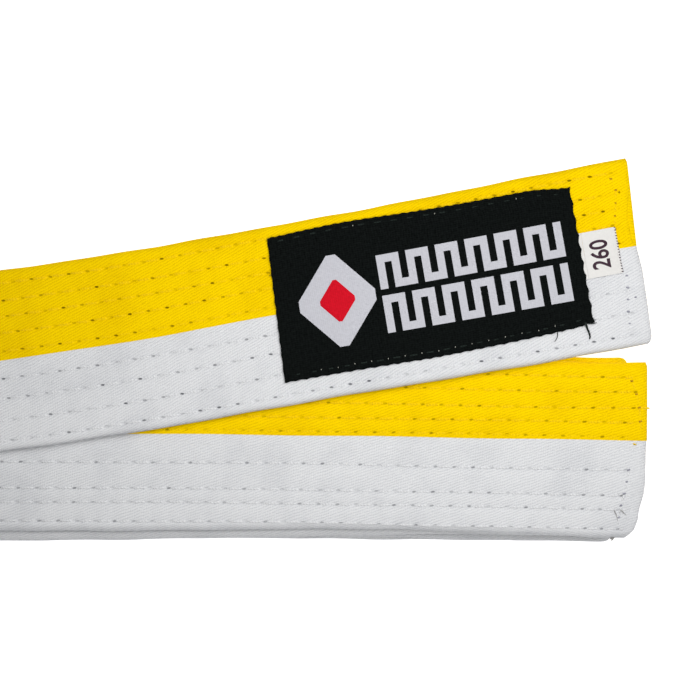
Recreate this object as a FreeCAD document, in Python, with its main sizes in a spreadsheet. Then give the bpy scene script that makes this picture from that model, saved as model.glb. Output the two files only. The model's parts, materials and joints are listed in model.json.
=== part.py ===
import FreeCAD, Part
import math
import os
import Sketcher

# A split martial arts belt, yellow along one edge and white along the other, folded into eight layers.
# Millimetres. +X runs along the bundle, +Y points to the yellow edge and +Z is up.
# The origin lies on the resting face, under the middle of the belt's width.
# Layers are numbered from the top: 1 is the labelled end, 2 is the plain end and 8 lies on the table.
# The belt's path is 1, 4, 5, 8, 7, 6, 3, 2. The front is the side that carries the label.

doc = FreeCAD.newDocument("MartialArtsBelt")
sheet = doc.addObject("Spreadsheet::Sheet", "Dims")

sizes = [
    # the belt's section
    ("belt_width", 40.0),
    ("belt_thickness", 3.2),
    ("cover_thickness", 0.5),
    ("edge_bevel", 0.7),
    ("yellow_width", 19.75),
    # the folded bundle
    ("layer_gap", 0.4),
    ("run_span", 316.3),  # between the axes of the left folds and the right folds
    ("right_fold_x", 150.0),
    ("middle_fold_inset", 15.4),  # the lowest right fold stands back, under the plain end
    ("plain_end_overhang", 10.0),
    ("labelled_fold_shift", 3.0),
    # the labelled run leaves its fold askew and bends a little in its own plane
    ("labelled_run_length", 330.5),
    ("labelled_yaw", 4.5),
    ("labelled_bend_radius", 3140.0),
    # the rows of quilting
    ("thread_width", 0.5),
    ("thread_rise", 0.1),
    ("yellow_rows", 5),
    ("yellow_row_inset", 2.65),
    ("yellow_row_pitch", 3.8),
    ("white_rows", 4),
    ("white_row_inset", 2.5),
    ("white_row_pitch", 4.6),
    ("end_row_distance", 2.8),
    # the woven label and its thread
    ("label_length", 68.0),
    ("label_width", 31.0),
    ("label_thickness", 0.6),
    ("label_corner", 0.8),
    ("label_to_end", 12.4),
    ("label_to_edge", 3.6),
    ("label_row_inset", 1.1),
    # the size tag, a ribbon tucked under the label's end
    ("tag_width", 10.0),
    ("tag_thickness", 0.2),
    ("tag_to_edge", 14.0),
    ("tag_tuck", 6.0),
    ("tag_crease", 1.2),  # from the label's end to the line that the ribbon turns on
    ("tag_flap", 7.5),
    ("tag_clearance", 0.2),
    ("crease_gap", 0.4),  # the flap turns clear of the root
]
for row, (alias, amount) in enumerate(sizes, start=1):
    sheet.set("A%d" % row, alias)
    sheet.set("B%d" % row, str(amount))
    sheet.setAlias("B%d" % row, alias)
doc.recompute()


def size(text):
    """Turns plain names of sizes into references to the sheet."""
    for alias, _ in sorted(sizes, key=lambda pair: -len(pair[0])):
        text = text.replace("<" + alias + ">", "Dims." + alias)
    return text


def value(text):
    """Works out an expression over the sheet as a number."""
    return float(sheet.evalExpression(size(text)))


def layerHeight(layer):
    """The height of the middle of a layer, 1 at the top and 8 on the table."""
    return "(%d * (<belt_thickness> + <layer_gap>) + <belt_thickness> / 2)" % (8 - layer)


halfWidth = "(<belt_width> / 2)"
halfThick = "(<belt_thickness> / 2)"
seamPlace = "(<belt_width> / 2 - <yellow_width>)"
leftX = "(<right_fold_x> - <run_span>)"
labelledLeftX = "(<right_fold_x> - <run_span> - <labelled_fold_shift>)"
rightX = "<right_fold_x>"
middleX = "(<right_fold_x> - <middle_fold_inset>)"
plainEndX = "(<right_fold_x> + <plain_end_overhang>)"


# ---------------------------------------------------------------- sketches


def newBody(label):
    body = doc.addObject("PartDesign::Body", label)
    body.Label = label
    return body


def newSketch(body, role, name, across="0", up="0", out="0"):
    """A sketch on one of the body's own origin planes, moved by three bound offsets."""
    plane = [item for item in body.Origin.OriginFeatures if item.Role == role][0]
    sketch = body.newObject("Sketcher::SketchObject", name)
    sketch.AttachmentSupport = [(plane, "")]
    sketch.MapMode = "FlatFace"
    for axis, text in zip("xyz", (across, up, out)):
        if text != "0":
            sketch.setExpression(".AttachmentOffset.Base." + axis, size(text))
    return sketch


def drawOutlines(sketch, outlines):
    """Draws closed outlines of straight lines, each corner's place bound to the sheet."""
    lines, rules, bound = [], [], []
    for outline in outlines:
        first = len(lines)
        count = len(outline)
        corners = [FreeCAD.Vector(value(x), value(y), 0) for x, y in outline]
        for index, (x, y) in enumerate(outline):
            following = (index + 1) % count
            lines.append(Part.LineSegment(corners[index], corners[following]))
            rules.append(Sketcher.Constraint("Coincident", first + index, 2, first + following, 1))
            bound.append((len(rules), x))
            rules.append(Sketcher.Constraint("DistanceX", -1, 1, first + index, 1, corners[index].x))
            bound.append((len(rules), y))
            rules.append(Sketcher.Constraint("DistanceY", -1, 1, first + index, 1, corners[index].y))
    sketch.addGeometry(lines, False)
    sketch.addConstraint(rules)
    for index, text in bound:
        sketch.setExpression("Constraints[%d]" % index, size(text))
    return sketch


def box(x0, x1, y0, y1):
    """The four corners of a rectangle."""
    return [(x0, y0), (x1, y0), (x1, y1), (x0, y1)]


def drawSpine(sketch, path):
    """Draws the line a stretch of belt follows: places in turn, with a half turn where a side is named."""
    parts, rules, bound = [], [], []
    for (x0, z0, _), (x1, z1, side) in zip(path, path[1:]):
        start = FreeCAD.Vector(value(x0), value(z0), 0)
        end = FreeCAD.Vector(value(x1), value(z1), 0)
        index = len(parts)
        startsFirst = True
        if side == "straight":
            parts.append(Part.LineSegment(start, end))
        else:
            centre = (start + end) * 0.5
            circle = Part.Circle(centre, FreeCAD.Vector(0, 0, 1), (start - end).Length / 2)
            turn = math.pi / 2 if side == "left" else -math.pi / 2
            parts.append(Part.ArcOfCircle(circle, turn, turn + math.pi))
            startsFirst = (start.y > end.y) == (side == "left")
        places = ((x0, z0, 1), (x1, z1, 2)) if startsFirst else ((x0, z0, 2), (x1, z1, 1))
        for x, z, corner in places:
            bound.append((len(rules), x))
            rules.append(Sketcher.Constraint("DistanceX", -1, 1, index, corner, value(x)))
            bound.append((len(rules), z))
            rules.append(Sketcher.Constraint("DistanceY", -1, 1, index, corner, value(z)))
        if side != "straight":
            bound.append((len(rules), x0))
            rules.append(Sketcher.Constraint("DistanceX", -1, 1, index, 3, value(x0)))
    sketch.addGeometry(parts, False)
    sketch.addConstraint(rules)
    for index, text in bound:
        sketch.setExpression("Constraints[%d]" % index, size(text))
    return sketch


# ---------------------------------------------------------------- the belt's section


def coverOutline(side):
    """One cover in section: cloth wrapped round its half of the belt, open towards the seam."""
    sign = "1" if side == "yellow" else "-1"
    edge = sign + " * " + halfWidth
    bevel = sign + " * (%s - <edge_bevel>)" % halfWidth
    inner = sign + " * (%s - <cover_thickness>)" % halfWidth
    shoulder = "(%s - <edge_bevel>)" % halfThick
    lining = "(%s - <cover_thickness>)" % halfThick
    outside = [(seamPlace, halfThick), (bevel, halfThick), (edge, shoulder)]
    inside = [(inner, lining), (seamPlace, lining)]
    below = [(y, "-1 * " + z) for y, z in reversed(outside)]
    belowInside = [(y, "-1 * " + z) for y, z in reversed(inside)]
    return [outside + below + belowInside + inside]


def coreOutline(plies):
    """The core in section, filling the covers: the front ply above the middle, the back ply below."""
    edge = "(%s - <cover_thickness>)" % halfWidth
    lining = "(%s - <cover_thickness>)" % halfThick
    high = lining if "front" in plies else "0"
    low = "-1 * " + lining if "back" in plies else "0"
    return [box("-1 * " + edge, edge, low, high)]


def rowPlaces(side):
    """The rows of quilting of one colour, as places across the belt."""
    if side == "yellow":
        return ["(%s - <yellow_row_inset> - %d * <yellow_row_pitch>)" % (halfWidth, row)
                for row in range(int(value("<yellow_rows>")))]
    return ["(-1 * %s + <white_row_inset> + %d * <white_row_pitch>)" % (halfWidth, row)
            for row in range(int(value("<white_rows>")))]


def rowOutlines(side, faces):
    """The threads of one colour in section, on the faces given: 1 above and -1 below."""
    outlines = []
    for place in rowPlaces(side):
        near = place + " - <thread_width> / 2"
        far = place + " + <thread_width> / 2"
        for face in faces:
            low = "%d * %s" % (face, halfThick)
            high = "%d * (%s + <thread_rise>)" % (face, halfThick)
            outlines.append(box(near, far, low, high))
    return outlines


# ---------------------------------------------------------------- folded stretches


def sweepStretch(body, name, path, outlines):
    """Carries a section along a folded stretch of the bundle."""
    x, z, _ = path[0]
    section = newSketch(body, "YZ_Plane", name + "_section", up=z, out=x)
    drawOutlines(section, outlines)
    spine = drawSpine(newSketch(body, "XZ_Plane", name + "_path"), path)
    doc.recompute()
    pipe = body.newObject("PartDesign::AdditivePipe", name)
    pipe.Profile = section
    pipe.Spine = spine
    doc.recompute()
    return pipe


def padRows(body, name, layer, ends, side, faces):
    """Lays the threads of one straight run along it."""
    start, end = ends
    rows = newSketch(body, "YZ_Plane", name + "_section", up=layerHeight(layer), out=start)
    drawOutlines(rows, rowOutlines(side, faces))
    doc.recompute()
    pad = body.newObject("PartDesign::Pad", name)
    pad.Profile = rows
    pad.setExpression("Length", size(end + " - " + start))
    doc.recompute()
    return pad


def layers(*names):
    """Joins places along the path: (x, layer, side)."""
    return [(x, layerHeight(layer), side) for x, layer, side in names]


# each stretch: its name, its path, and whether the front is uppermost at its start
stretches = {
    "lower": [
        ("serpentine", layers(
            (rightX, 5, ""), (leftX, 5, "straight"), (leftX, 8, "left"), (middleX, 8, "straight"),
            (middleX, 7, "right"), (leftX, 7, "straight"), (leftX, 6, "left"), (rightX, 6, "straight")), True),
    ],
    "upper": [
        ("turned_run", layers((rightX, 4, ""), (labelledLeftX, 4, "straight")), False),
        ("plain_end", layers(
            (rightX, 3, ""), (leftX, 3, "straight"), (leftX, 2, "left"), (plainEndX, 2, "straight")), True),
    ],
    "right_fold": [
        ("outer_fold", layers((rightX, 6, ""), (rightX, 3, "right")), False),
        ("inner_fold", layers((rightX, 5, ""), (rightX, 4, "right")), True),
    ],
    "left_fold": [
        ("end_fold", layers((labelledLeftX, 4, ""), (labelledLeftX, 1, "left")), False),
    ],
}

# straight runs that carry threads: layer, its two ends, and the faces; the table side of layer 8 has none
plainRowEnd = "(%s - <end_row_distance> - <thread_width>)" % plainEndX
rowRuns = {
    "lower": [
        (5, (leftX, rightX), (1, -1)),
        (6, (leftX, rightX), (1, -1)),
        (7, (leftX, middleX), (1, -1)),
        (8, (leftX, middleX), (1,)),
    ],
    "upper": [
        (2, (leftX, plainRowEnd), (1, -1)),
        (3, (leftX, rightX), (1, -1)),
        (4, (labelledLeftX, rightX), (1, -1)),
    ],
}

nodes = []


def buildZone(zone):
    """Makes a zone's covers, core and threads; the short folds keep their core in one piece."""
    for side in ("yellow", "white"):
        cover = newBody("%s_%s_cover" % (zone, side))
        for name, path, _ in stretches[zone]:
            sweepStretch(cover, name, path, coverOutline(side))
        nodes.append(cover)
    if zone not in rowRuns:
        core = newBody(zone + "_core")
        for name, path, _ in stretches[zone]:
            sweepStretch(core, name, path, coreOutline(("front", "back")))
        nodes.append(core)
        return
    for ply, other in (("front", "back"), ("back", "front")):
        core = newBody("%s_%s_ply" % (zone, ply))
        for name, path, frontUp in stretches[zone]:
            sweepStretch(core, name, path, coreOutline((ply if frontUp else other,)))
        nodes.append(core)
    for side in ("yellow", "white"):
        thread = newBody("%s_%s_thread" % (zone, side))
        for layer, ends, faces in rowRuns[zone]:
            padRows(thread, "rows_of_layer_%d" % layer, layer, ends, side, faces)
        nodes.append(thread)


# ---------------------------------------------------------------- the labelled end

bendAngle = "(%s / <labelled_bend_radius> * 180 / pi)"


def placeOnRun(body, fromEnd):
    """Sets a body on the middle of the labelled run, at a distance from its end and turned along it."""
    along = "(<labelled_run_length> - (%s))" % fromEnd
    yaw = "(<labelled_yaw> + %s)" % (bendAngle % along)
    radius = "<labelled_bend_radius>"
    reach = "%s * (sin(%s) - sin(<labelled_yaw>))" % (radius, yaw)
    body.setExpression(".Placement.Base.x", size("%s + %s" % (labelledLeftX, reach)))
    body.setExpression(".Placement.Base.y", size("%s * (cos(<labelled_yaw>) - cos(%s))" % (radius, yaw)))
    body.setExpression(".Placement.Base.z", size(layerHeight(1)))
    body.Placement.Rotation = FreeCAD.Rotation(FreeCAD.Vector(0, 0, 1), 1)
    body.setExpression(".Placement.Rotation.Angle", size(yaw))


# the labelled run is swept from a little before its fold, and its start is then trimmed square to the bundle
mitreLead = "(<belt_width> * tan(<labelled_yaw>))"


def sweepLabelledRun(body, name, outlines, shortBy):
    """Carries a section along the gently bent labelled run, short of its end, then trims its start."""
    section = newSketch(body, "YZ_Plane", name + "_section")
    drawOutlines(section, outlines)
    radius = value("<labelled_bend_radius>")
    axis = Part.LineSegment(FreeCAD.Vector(radius, -5, 0), FreeCAD.Vector(radius, 5, 0))
    index = section.addGeometry(axis, True)
    section.addConstraint(Sketcher.Constraint("Vertical", index))
    rule = section.addConstraint(Sketcher.Constraint("DistanceX", -1, 1, index, 1, radius))
    section.setExpression("Constraints[%d]" % rule, size("<labelled_bend_radius>"))
    doc.recompute()
    run = body.newObject("PartDesign::Revolution", name)
    run.Profile = section
    run.ReferenceAxis = (section, ["Axis0"])
    sweptLength = "(<labelled_run_length> + %s - (%s))" % (mitreLead, shortBy)
    run.setExpression("Angle", size(bendAngle % sweptLength))
    doc.recompute()
    swept = run.Shape.Volume
    plan = newSketch(body, "XY_Plane", name + "_mitre_plan")
    side = "<belt_width>"
    slope = "%s * tan(<labelled_yaw> - %s)" % (side, bendAngle % mitreLead)
    back = "-1 * " + side
    low = ("%s - %s * 0.75" % (mitreLead, slope), "-0.75 * " + side)
    high = ("%s + %s * 0.75" % (mitreLead, slope), "0.75 * " + side)
    drawOutlines(plan, [[(back, back), low, high, (back, side)]])
    doc.recompute()
    mitre = body.newObject("PartDesign::Pocket", name + "_mitre")
    mitre.Profile = plan
    mitre.Type = "ThroughAll"
    mitre.Midplane = True
    doc.recompute()
    if mitre.Shape.Volume >= swept:
        raise RuntimeError("The mitre of " + body.Label + " cuts nothing")


def padPlan(body, name, outlines, floor, height):
    """Pads an outline seen from above, from a floor height in the body's own frame."""
    plan = newSketch(body, "XY_Plane", name + "_plan", out=floor)
    drawOutlines(plan, outlines)
    doc.recompute()
    pad = body.newObject("PartDesign::Pad", name)
    pad.Profile = plan
    pad.setExpression("Length", size(height))
    doc.recompute()
    return pad


def buildLabelledRun():
    """The run that lies on top, with the same covers, plies and threads as the rest."""
    rowsShort = "<end_row_distance> + 2 * <thread_width>"
    pieces = [("labelled_yellow_cover", coverOutline("yellow"), "0"),
              ("labelled_white_cover", coverOutline("white"), "0"),
              ("labelled_front_ply", coreOutline(("front",)), "0"),
              ("labelled_back_ply", coreOutline(("back",)), "0"),
              ("labelled_yellow_thread", rowOutlines("yellow", (1, -1)), rowsShort),
              ("labelled_white_thread", rowOutlines("white", (1, -1)), rowsShort)]
    for label, outlines, shortBy in pieces:
        body = newBody(label)
        sweepLabelledRun(body, "bent_run", outlines, shortBy)
        placeOnRun(body, "<labelled_run_length> + " + mitreLead)
        nodes.append(body)


def endColumn(side):
    """The column of thread that closes a belt's end across the rows of one colour."""
    places = rowPlaces(side)
    if side == "white":
        places.reverse()
    near = "(-1 * <end_row_distance>)"
    return box("%s - <thread_width>" % near, near, places[-1] + " - <thread_width> / 2",
               places[0] + " + <thread_width> / 2")


def buildEndStitching(label, place):
    """Thread columns across both faces of a belt's end, standing just past the rows."""
    body = newBody(label)
    outlines = [endColumn("yellow"), endColumn("white")]
    padPlan(body, "upper_columns", outlines, halfThick, "<thread_rise>")
    padPlan(body, "lower_columns", outlines, "-1 * (%s + <thread_rise>)" % halfThick, "<thread_rise>")
    place(body)
    nodes.append(body)


def placePlainEnd(body):
    """Sets a body on the middle of the plain end."""
    body.setExpression(".Placement.Base.x", size(plainEndX))
    body.setExpression(".Placement.Base.z", size(layerHeight(2)))


labelFloor = "(%s + <thread_rise>)" % halfThick
labelTop = "(%s + <thread_rise> + <label_thickness>)" % halfThick
labelHigh = "(%s - <label_to_edge>)" % halfWidth
labelLow = "(%s - <label_to_edge> - <label_width>)" % halfWidth
tagHigh = "(%s - <tag_to_edge>)" % halfWidth
tagLow = "(%s - <tag_to_edge> - <tag_width>)" % halfWidth


def buildLabel():
    """A woven label with cut corners, hollowed underneath where the size tag is tucked in."""
    label = newBody("label")
    corner = "<label_corner>"
    left = "(-1 * <label_length>)"
    outline = [(left + " + " + corner, labelLow), ("-1 * " + corner, labelLow),
               ("0", labelLow + " + " + corner), ("0", labelHigh + " - " + corner), ("-1 * " + corner, labelHigh),
               (left + " + " + corner, labelHigh), (left, labelHigh + " - " + corner),
               (left, labelLow + " + " + corner)]
    padPlan(label, "cloth", [outline], labelFloor, "<label_thickness>")
    slot = newSketch(label, "XY_Plane", "tag_slot_plan", out=labelFloor)
    drawOutlines(slot, [box("-1 * <tag_tuck> - <tag_clearance>", "1", tagLow + " - <tag_clearance>",
                            tagHigh + " + <tag_clearance>")])
    doc.recompute()
    pocket = label.newObject("PartDesign::Pocket", "tag_slot")
    pocket.Profile = slot
    pocket.Reversed = True
    pocket.setExpression("Length", size("<tag_thickness>"))
    doc.recompute()
    placeOnRun(label, "<label_to_end>")
    nodes.append(label)

    thread = newBody("label_thread")
    start = "(-1 * <label_length> + <label_row_inset>)"
    end = "(-1 * <label_row_inset>)"
    inset = "<label_row_inset>"
    wide = "<thread_width>"
    rows = [box(start, end, "%s - %s - %s" % (labelHigh, inset, wide), "%s - %s" % (labelHigh, inset)),
            box(start, end, "%s + %s" % (labelLow, inset), "%s + %s + %s" % (labelLow, inset, wide))]
    padPlan(thread, "edge_rows", rows, labelTop, "<thread_rise>")
    placeOnRun(thread, "<label_to_end>")
    nodes.append(thread)


def buildSizeTag():
    """A ribbon in two pieces: the root under the label and the flap that turns on the crease."""
    root = newBody("size_tag_root")
    padPlan(root, "ribbon", [box("-1 * <tag_tuck>", "<tag_crease> - <crease_gap>", tagLow, tagHigh)],
            labelFloor, "<tag_thickness>")
    placeOnRun(root, "<label_to_end>")
    nodes.append(root)
    flap = newBody("size_tag")
    padPlan(flap, "ribbon", [box("<tag_crease>", "<tag_crease> + <tag_flap>", tagLow, tagHigh)],
            labelFloor, "<tag_thickness>")
    placeOnRun(flap, "<label_to_end>")
    nodes.append(flap)


# ---------------------------------------------------------------- building and saving

for zoneName in stretches:
    buildZone(zoneName)
buildLabelledRun()
buildEndStitching("labelled_end_stitching", lambda body: placeOnRun(body, "0"))
buildEndStitching("plain_end_stitching", placePlainEnd)
buildLabel()
buildSizeTag()
doc.recompute()

faults = [item.Label for item in doc.Objects if "Invalid" in item.State or "Error" in item.State]
for node in nodes:
    if node.Shape.isNull() or not node.Shape.isValid() or node.Shape.Volume <= 0:
        faults.append(node.Label)
if faults:
    raise RuntimeError("These did not build: " + ", ".join(faults))

span = value("<run_span>")
pitch = value("<belt_thickness> + <layer_gap>")
overhang = value("<plain_end_overhang>")
folds = math.pi * (3 * 1.5 + 4 * 0.5) * pitch
runs = 7 * span - 2 * value("<middle_fold_inset>") + overhang + value("<labelled_fold_shift>")
print("belt length, mm:", round(runs + folds + value("<labelled_run_length>"), 1))

os.makedirs("parts", exist_ok=True)
for node in nodes:
    node.Shape.exportStep("parts/%s.step" % node.Label)
    print(node.Label, round(node.Shape.Volume, 1), "mm3,", len(node.Shape.Solids), "solids")
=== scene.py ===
import json
import math
import bmesh
import bpy
import numpy as np
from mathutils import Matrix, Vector


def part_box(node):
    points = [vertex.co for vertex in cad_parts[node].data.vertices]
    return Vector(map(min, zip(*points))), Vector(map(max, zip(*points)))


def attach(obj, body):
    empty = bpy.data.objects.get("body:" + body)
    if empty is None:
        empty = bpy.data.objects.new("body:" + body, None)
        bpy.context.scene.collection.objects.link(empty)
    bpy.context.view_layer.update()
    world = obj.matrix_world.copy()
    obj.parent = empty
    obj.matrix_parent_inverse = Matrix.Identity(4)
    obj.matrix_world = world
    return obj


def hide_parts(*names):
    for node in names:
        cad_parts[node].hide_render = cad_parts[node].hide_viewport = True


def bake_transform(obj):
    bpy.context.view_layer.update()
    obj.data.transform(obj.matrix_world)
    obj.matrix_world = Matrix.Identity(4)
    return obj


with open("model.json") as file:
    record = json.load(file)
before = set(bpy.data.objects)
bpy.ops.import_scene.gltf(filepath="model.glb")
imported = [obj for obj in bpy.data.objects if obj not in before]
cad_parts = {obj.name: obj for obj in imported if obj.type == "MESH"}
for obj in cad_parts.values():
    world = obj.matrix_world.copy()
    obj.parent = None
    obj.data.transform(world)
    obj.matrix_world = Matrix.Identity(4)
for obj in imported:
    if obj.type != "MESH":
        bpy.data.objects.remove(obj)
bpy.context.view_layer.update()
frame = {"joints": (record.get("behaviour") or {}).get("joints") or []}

mm = 0.001  # the maths below is in millimetres and meshes are in metres
rng = np.random.default_rng(11)


def boxOf(node):
    low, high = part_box(node)
    return [value / mm for value in low], [value / mm for value in high]


def jointPlace(name):
    joint = [item for item in frame["joints"] if item["name"] == name][0]
    return [value / mm for value in joint["pos_m"]]


# the folded belt's measures, read from the frame

yellowLow, yellowHigh = boxOf("lower_yellow_cover")
whiteLow = boxOf("lower_white_cover")[0]
topLow, topHigh = boxOf("labelled_yellow_cover")
halfWidth = (yellowHigh[1] - whiteLow[1]) / 2
thickness = topHigh[2] - topLow[2]
halfThick = thickness / 2
layerPitch = (yellowHigh[2] - yellowLow[2] - thickness) / 3
rightX = jointPlace("bundle_opening")[0]
labelledLeftX = jointPlace("labelled_end_lift")[0]
leftX = yellowLow[0] + 1.5 * layerPitch + halfThick
plainEndX = boxOf("upper_white_cover")[1][0]

beltSettings = {
    "middleFoldInset": 15.4,  # the lowest right fold stands back by this
    "labelledLength": 330.5,
    "labelledYaw": math.radians(4.5),
    "labelledBend": 3140.0,
    "yawEase": 30.0,  # the run comes square to its fold over this length
    "endFlare": 0.035,  # the labelled end is pulled a little wider
    "coverThickness": 0.5,
    "stitchPitch": 4.2,
}
middleX = rightX - beltSettings["middleFoldInset"]


def layerHeight(layer):
    return (8 - layer) * layerPitch + halfThick


# the belt's route, from the labelled end to the plain end
def straightRun(name, layer, start, end):
    return {"name": name, "kind": "run", "layer": layer, "start": start, "end": end,
            "length": abs(end - start)}


def halfTurn(name, x, fromLayer, toLayer, side):
    radius = abs(toLayer - fromLayer) * layerPitch / 2
    return {"name": name, "kind": "turn", "x": x, "z": (layerHeight(fromLayer) + layerHeight(toLayer)) / 2,
            "side": side, "rise": 1 if toLayer < fromLayer else -1, "radius": radius,
            "length": math.pi * radius}


route = [
    {"name": "labelled", "kind": "bent", "length": beltSettings["labelledLength"]},
    halfTurn("leftFold", labelledLeftX, 1, 4, -1),
    straightRun("run4", 4, labelledLeftX, rightX),
    halfTurn("innerFold", rightX, 4, 5, 1),
    straightRun("run5", 5, rightX, leftX),
    halfTurn("fold58", leftX, 5, 8, -1),
    straightRun("run8", 8, leftX, middleX),
    halfTurn("middleFold", middleX, 8, 7, 1),
    straightRun("run7", 7, middleX, leftX),
    halfTurn("fold76", leftX, 7, 6, -1),
    straightRun("run6", 6, leftX, rightX),
    halfTurn("outerFold", rightX, 6, 3, 1),
    straightRun("run3", 3, rightX, leftX),
    halfTurn("fold32", leftX, 3, 2, -1),
    straightRun("run2", 2, leftX, plainEndX),
]
along = 0.0
for part in route:
    part["from"] = along
    along += part["length"]
    part["to"] = along
beltLength = along
partNamed = {part["name"]: part for part in route}


def smooth(t):
    t = np.clip(t, 0, 1)
    return t * t * (3 - 2 * t)


# each layer lies a little off the one above: share of the part's length, shift towards the yellow edge
layerDrift = {
    "labelled": [(0.0, -0.2), (0.05, -0.2), (0.15, -0.4), (0.23, -0.65), (0.31, -1.45), (0.36, -1.8),
                 (0.50, -1.7), (0.95, 0.0)],
    "run4": [(0.3, -0.4), (0.58, -1.7), (0.71, -1.3), (0.83, -0.7), (0.90, -1.3), (0.96, -1.9)],
    "run5": [(0.1, -1.6), (0.8, -0.2)],
    "run8": [(0.3, -0.3), (0.61, -2.0), (0.74, -1.5), (0.87, -0.7), (1.0, -1.3)],
    "run7": [(0.35, -1.0), (1.0, 0.2)],
    "run6": [(0.55, -0.9), (0.97, -0.7)],
    "run3": [(0.03, -0.7), (0.08, 0.3), (0.17, -0.3), (0.30, -1.0), (0.42, -1.5), (0.7, -0.4), (1.0, 0.9)],
    "run2": [(0.1, 1.2), (0.65, 0.8), (0.78, 0.3), (1.0, -1.2)],
}
driftStops = np.arange(-12.0, beltLength + 12, 3)
driftKeys = [(partNamed[name]["from"] + share * partNamed[name]["length"], shift)
             for name, keys in layerDrift.items() for share, shift in keys]
roughDrift = np.interp(driftStops, *zip(*driftKeys))
smoothDrift = np.convolve(np.pad(roughDrift, 5, mode="edge"), np.full(11, 1 / 11), mode="valid")

# how far each end edge stands back from the end, from the white edge to the yellow edge
labelledEndEdge = [(-20, 1.1), (-19.5, 0.4), (-18.7, 0.0), (-17.5, -0.1), (-12, -0.4), (-7, -0.6), (-4, -0.7),
                   (0, -0.3), (1.2, -0.4), (3, 0.2), (8, 0.05), (14, -1.35), (19.2, -1.75), (19.9, -1.45)]
plainEndEdge = [(-20, 4.6), (-18.9, 3.0), (-17.8, 1.9), (-15.6, 1.1), (-13.4, 0.8), (-8.9, -0.5), (-4, -0.6),
                (0.6, -0.7), (1.6, -0.75), (2.2, -0.95), (10, -1.0), (18.6, -1.0), (19.3, -0.7)]


def endShift(u, v):
    fromStart = np.clip(1 - u / 14, 0, 1) * np.interp(v, *zip(*labelledEndEdge))
    fromFinish = np.clip(1 - (beltLength - u) / 14, 0, 1) * np.interp(v, *zip(*plainEndEdge))
    return fromStart - fromFinish


def placeOnPart(part, u):
    # the middle line's place, the way along, the way across to the yellow edge and the way out of the front
    s = u - part["from"]
    none, full = np.zeros_like(s), np.ones_like(s)
    if part["kind"] == "bent":
        left = part["length"] - s
        start, bend = beltSettings["labelledYaw"], beltSettings["labelledBend"]
        yaw = start + left / bend
        eased = yaw * smooth(left / beltSettings["yawEase"])
        place = (labelledLeftX + bend * (np.sin(yaw) - math.sin(start)),
                 bend * (math.cos(start) - np.cos(yaw)), full * layerHeight(1))
        along, across = (-np.cos(yaw), -np.sin(yaw), none), (-np.sin(eased), np.cos(eased), none)
        return place, along, across, (none, none, full)
    if part["kind"] == "run":
        way = 1 if part["end"] > part["start"] else -1
        place = (part["start"] + way * s, none, full * layerHeight(part["layer"]))
        return place, (way * full, none, none), (none, full, none), (none, none, -way * full)
    angle = s / part["radius"]
    side, rise, radius = part["side"], part["rise"], part["radius"]
    place = (part["x"] + side * radius * np.sin(angle), none, part["z"] - rise * radius * np.cos(angle))
    return (place, (side * np.cos(angle), none, rise * np.sin(angle)), (none, full, none),
            (rise * np.sin(angle), none, -side * np.cos(angle)))


def placeOnBelt(u, v, h, shapedEnds=True):
    # points in metres from their place along the belt, across it and out of its front
    u, v, h = (np.array(item, float) for item in np.broadcast_arrays(u, v, h))
    points = np.zeros(u.shape + (3,))
    flare = 1 + beltSettings["endFlare"] * smooth((80 - u) / 75)
    sideways = v * flare + np.interp(u, driftStops, smoothDrift)
    back = endShift(u, v) if shapedEnds else np.zeros_like(u)
    for part in route:
        low = -100 if part is route[0] else part["from"]
        high = beltLength + 100 if part is route[-1] else part["to"]
        here = (u >= low) & (u < high)
        if here.any():
            place, tangent, across, out = (np.stack(item, axis=-1) for item in placeOnPart(part, u[here]))
            points[here] = (place + sideways[here][:, None] * across + h[here][:, None] * out
                            + back[here][:, None] * tangent)
    return points * mm


# the quilting rows, measured from the yellow edge, at the labelled end and at the plain end
quilting = {
    "labelledRows": [2.65, 6.8, 10.2, 13.7, 17.8, 23.7, 28.1, 33.0, 37.5],
    "plainRows": [4.0, 7.1, 10.8, 14.1, 17.3, 24.7, 30.4, 33.5, 37.8],
    "labelledSeam": 19.75,
    "plainSeam": 18.1,
    "wander": 0.12,
    "groove": 0.10,
    "grooveWidth": 0.6,
    "dimple": 0.16,  # at each needle hole
    "puff": 0.11,
    "hemRise": 0.13,
    "edgeRound": 1.5,
    "endSeamAt": 2.6,  # the column of stitches that closes an end stands this far in
    "seamRise": 0.9,  # the seam climbs by this towards the labelled end
    "seamRiseFrom": 16,
    "seamRiseOver": 8,
}
rowPhases = rng.uniform(0, 1, 9)
# rows of stitches counted from the yellow edge, the one by the seam first
rowNumbers = {"yellow": [4, 3, 2, 1, 0], "white": [5, 6, 7, 8]}
edgeAngles = np.radians([62, 32, 0, -32, -62])


def rowsAt(u):
    share = (u / beltLength)[:, None]
    places = np.array(quilting["labelledRows"]) * (1 - share) + np.array(quilting["plainRows"]) * share
    sway = np.sin(u[:, None] / 37.0 + rowPhases * 9) + 0.6 * np.sin(u[:, None] / 11.0 + rowPhases * 5)
    return halfWidth - places + quilting["wander"] * sway


def seamAt(u):
    share = u / beltLength
    sway = 0.12 * np.sin(u / 29.0) + 0.07 * np.sin(u / 6.3)
    sway = sway + quilting["seamRise"] * smooth((quilting["seamRiseFrom"] - u) / quilting["seamRiseOver"])
    return halfWidth - (quilting["labelledSeam"] * (1 - share) + quilting["plainSeam"] * share) + sway


def edgeAt(u, side):
    wobble = 0.10 * np.sin(u / 2.9) * np.sin(u / 13.0) + 0.12 * np.sin(u / 21.0 + 2)
    if side == "yellow":
        return halfWidth + wobble - 0.6 * smooth((u - beltLength + 50) / 40)
    drawnIn = 1.1 * np.exp(-(((u - partNamed["run2"]["from"] - 268) / 42.0) ** 2))
    return halfWidth - drawnIn + 0.10 * np.sin(u / 3.4) * np.sin(u / 17.0) + 0.1 * np.sin(u / 26.0)


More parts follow.
